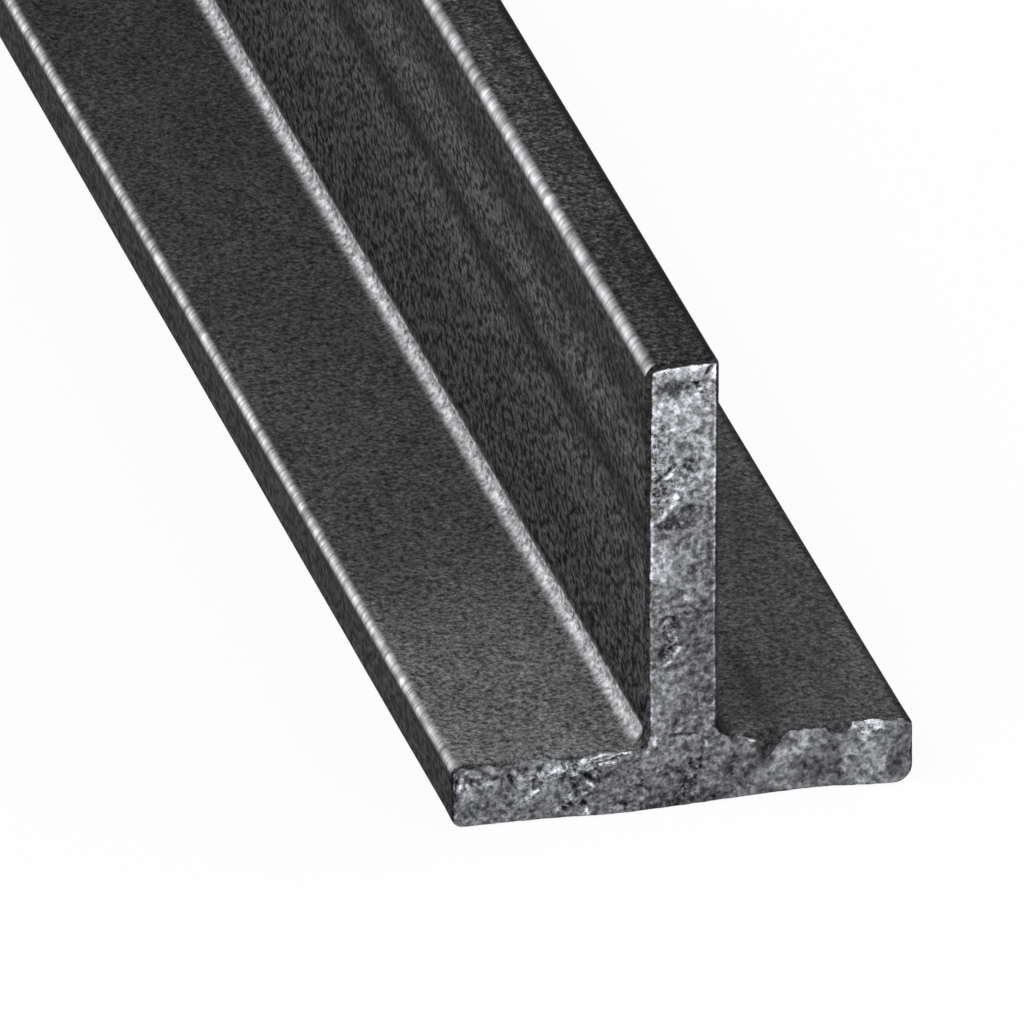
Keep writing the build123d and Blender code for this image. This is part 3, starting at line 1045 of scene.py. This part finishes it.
stroke_tone = node("Attribute", attribute_name="torn_tone").outputs["Fac"]
stroke_rough = node("Attribute", attribute_name="torn_rough").outputs["Fac"]
softer = product(remap(where.outputs["Z"], 3.6, 3.0), remap(where.outputs["X"], 1.0, 3.0))
even_tone = product(
    calc("POWER", remap(flakes, 0.33, 0.67, mix(softer, 0.58, 0.64), mix(softer, 1.43, 1.39)), 2.0),
    remap(grit, 0.3, 0.7, mix(softer, 0.55, 0.82), mix(softer, 1.45, 1.18)),
    remap(patches, 0.3, 0.7, mix(softer, 0.90, 0.62), mix(softer, 1.10, 1.44)),
)
rough_tone = product(remap(shards, 0.40, 0.60, 0.10, 1.55), remap(grit, 0.3, 0.7, 0.55, 1.45))
rough_tone = laid_over(rough_tone, lips, 1.25)
# Painted shade where a stroke darkens, deepest between the shards, and painted highlights, the glints, where
# a stroke brightens.
gaps = product(calc("MINIMUM", stroke_tone, 0.0), remap(shards, 0.38, 0.62, 1.6, 0.6))
darkened = calc("MAXIMUM", calc("ADD", gaps, 1.0), 0.24)
torn_tone = product(mix(stroke_rough, even_tone, rough_tone), darkened)
glints = product(calc("MAXIMUM", stroke_tone, 0.0), remap(shards, 0.38, 0.60, 0.25, 2.0))
torn_tone = laid_over(torn_tone, glints, 1.9)
# Painted light: the torn face is lighter towards the top of the web and darker low down. Low on the web it is
# also lighter on the left than on the right.
torn_tone = product(torn_tone, remap(where.outputs["Z"], 8.0, 18.5, 0.60, 1.18, smooth=True))
low_on_web = product(remap(where.outputs["Z"], 3.6, 4.6), remap(where.outputs["Z"], 15.0, 12.0))
torn_tone = product(torn_tone, mix(low_on_web, 1.0, remap(where.outputs["X"], -1.3, 1.3, 1.14, 0.82)))
torn_relief = mix(
    stroke_rough,
    calc("ADD", product(grit, 0.07), product(flakes, 0.14)),
    calc("ADD", product(grit, 0.16), product(shards, 0.22)),
)

chip_noise = grain((1.5, 60.0, 4.0), detail=2.0, harshness=0.55, offset=29.0)
flange_edge = product(remap(where.outputs["Z"], 2.5, 2.8), remap(where.outputs["Z"], 3.9, 3.3))
chipped = product(flange_edge, remap(chip_noise, 0.50, 0.66, 0.0, 0.12))
bare_depth = node("Attribute", attribute_name="bare_steel_mm").outputs["Fac"]
ragged = laid_over(calc("ADD", bare_depth, chipped), calc("SUBTRACT", flakes, 0.5), 0.10)
is_torn = remap(ragged, -0.02, 0.03, smooth=True)
web_rim = product(
    band(bare_depth, 0.07, 0.05),
    remap(where.outputs["Z"], 3.6, 4.2),
    remap(where.outputs["X"], -1.0, 1.0, 0.5, 1.0),
)
torn_colour = shade((0.285, 0.291, 0.310), product(torn_tone, laid_over(1.0, web_rim, 1.0)))
print("torn steel drawn")

# %% One shader for the bar
relief = mix(is_torn, skin_relief, torn_relief)
bumped = node("Bump", Strength=0.9, Distance=0.001, Height=relief)
steel = node("BsdfPrincipled", Specular_IOR_Level=0.025, Normal=bumped.outputs[0])
plug(blend(is_torn, skin_colour, torn_colour), steel.inputs["Base Color"])
plug(mix(is_torn, skin_metal, 0.35), steel.inputs["Metallic"])
plug(mix(is_torn, skin_rough, 0.40), steel.inputs["Roughness"])
finish_out = node("OutputMaterial")
links.new(steel.outputs[0], finish_out.inputs["Surface"])
bar_mesh.materials.clear()
bar_mesh.materials.append(bar_finish)

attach(tee_bar, "root")
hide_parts("tee_section")
print("finish on the bar")

# %% [markdown]
# ## The studio
#
# The bar lies on a plain white floor under soft light from the upper left, with a side light from the
# right that opens the shadows. A low lamp behind it, also on the left, adds to the bright line painted
# along each corner on the left: such a corner is a thin cylinder along the bar, and it can only mirror
# light that comes from the far end.
#
# The photograph's ground is white all over. The floor gets that from its own paint: what the camera and
# the reflections see is mostly plain white, and the rest is lit like any floor, so it keeps the shadow.

# %% Floor
bpy.ops.object.select_all(action="DESELECT")
bpy.ops.mesh.primitive_plane_add(size=12, location=(0, 0, 0))
floor = bpy.context.object
floor.name = "studio_floor"
floor_paint = bpy.data.materials.new("floor_paint")
floor_paint.use_nodes = True
nodes = floor_paint.node_tree.nodes
links = floor_paint.node_tree.links
paint = nodes["Principled BSDF"]
paint.inputs["Base Color"].default_value = (0.95, 0.95, 0.95, 1)
paint.inputs["Roughness"].default_value = 0.9
paint.inputs["Specular IOR Level"].default_value = 0.0


def seen_share(amount):
    """This share for what the camera, a reflection or glass sees, and nothing for light on its way."""
    ray = node("LightPath")
    seen = calc("MAXIMUM", ray.outputs["Is Camera Ray"], ray.outputs["Is Glossy Ray"])
    seen = calc("MAXIMUM", seen, ray.outputs["Is Transmission Ray"])
    return calc("MULTIPLY", seen, amount)


white = node("Emission", Color=(1, 1, 1, 1), Strength=1.0)
seen_floor = node("MixShader")
links.new(seen_share(0.93), seen_floor.inputs[0])
links.new(paint.outputs[0], seen_floor.inputs[1])
links.new(white.outputs[0], seen_floor.inputs[2])
links.new(seen_floor.outputs[0], nodes["Material Output"].inputs["Surface"])
floor.data.materials.append(floor_paint)
print("floor laid")

# %% Lamps
def soft_lamp(name, towards, distance, width, height, power, aim=(0, -0.46, 0.01)):
    """A rectangular soft lamp that stands this way from its aim, and faces it."""
    aim = Vector(aim)
    way = Vector(towards).normalized()
    bpy.ops.object.light_add(type="AREA", location=aim + way * distance)
    lamp = bpy.context.object
    lamp.name = name
    lamp.data.shape = "RECTANGLE"
    lamp.data.size = width
    lamp.data.size_y = height
    lamp.data.energy = power
    lamp.rotation_euler = way.to_track_quat("Z", "Y").to_euler()
    print(name, "at", [round(value, 2) for value in lamp.location])
    return lamp


soft_lamp("key_softbox", (-0.50, -0.38, 0.80), 2.2, 1.0, 1.0, 24)
soft_lamp("side_softbox", (0.72, -0.05, 0.68), 2.2, 1.4, 1.4, 20)
soft_lamp("corner_lamp", (-0.44, 0.875, 0.20), 2.6, 1.1, 0.8, 6)

# %% World
surround = bpy.data.worlds.new("pale_room")
bpy.context.scene.world = surround
surround.use_nodes = True
nodes = surround.node_tree.nodes
links = surround.node_tree.links
room_light = nodes["Background"]
room_light.inputs["Color"].default_value = (0.33, 0.33, 0.335, 1)
room_white = node("Background", Color=(1, 1, 1, 1), Strength=1.0)
room = node("MixShader")
links.new(seen_share(1.0), room.inputs[0])
links.new(room_light.outputs[0], room.inputs[1])
links.new(room_white.outputs[0], room.inputs[2])
links.new(room.outputs[0], nodes["World Output"].inputs["Surface"])
bpy.context.scene.view_settings.view_transform = "Standard"
print("lamps lit")

# %% [markdown]
# ## The camera
#
# The photograph was taken from far off with a long lens, so the bar's sides run almost parallel. The
# camera stands to the left of the bar's line and looks down on the near end. Two distances say where the
# middle of the picture lies, seen from the foot of the cut: to the left of it, and above it.

# %% Camera
turn = math.radians(-14.206)
tilt = math.radians(25.459)
pixels_per_mm = 23.746
focal_pixels = 42149.0
picture_pixels = 1024
millimetre = 0.001
left_of_cut = 7.18
above_cut = 12.383
cut_face_inside = 0.22
right = Vector((math.cos(turn), math.sin(turn), 0))
upward = Vector((-math.sin(turn) * math.sin(tilt), math.cos(turn) * math.sin(tilt), math.cos(tilt)))
back = Vector((math.sin(turn) * math.cos(tilt), -math.cos(turn) * math.cos(tilt), math.sin(tilt)))
near_end = Vector((0, cut_face_inside - half_length, 0))
distance = focal_pixels / pixels_per_mm
stand = (near_end - left_of_cut * right + above_cut * upward + distance * back) * millimetre

bpy.ops.object.camera_add(location=stand)
camera = bpy.context.object
camera.rotation_euler = back.to_track_quat("Z", "Y").to_euler()
camera.data.sensor_width = 36.0
camera.data.lens = focal_pixels / picture_pixels * camera.data.sensor_width
camera.data.clip_start = 0.05
camera.data.clip_end = 20.0
bpy.context.scene.camera = camera
print("camera", [round(value, 3) for value in stand], "lens", round(camera.data.lens), "mm")

# %% Bring the scene up to date
bpy.context.view_layer.update()
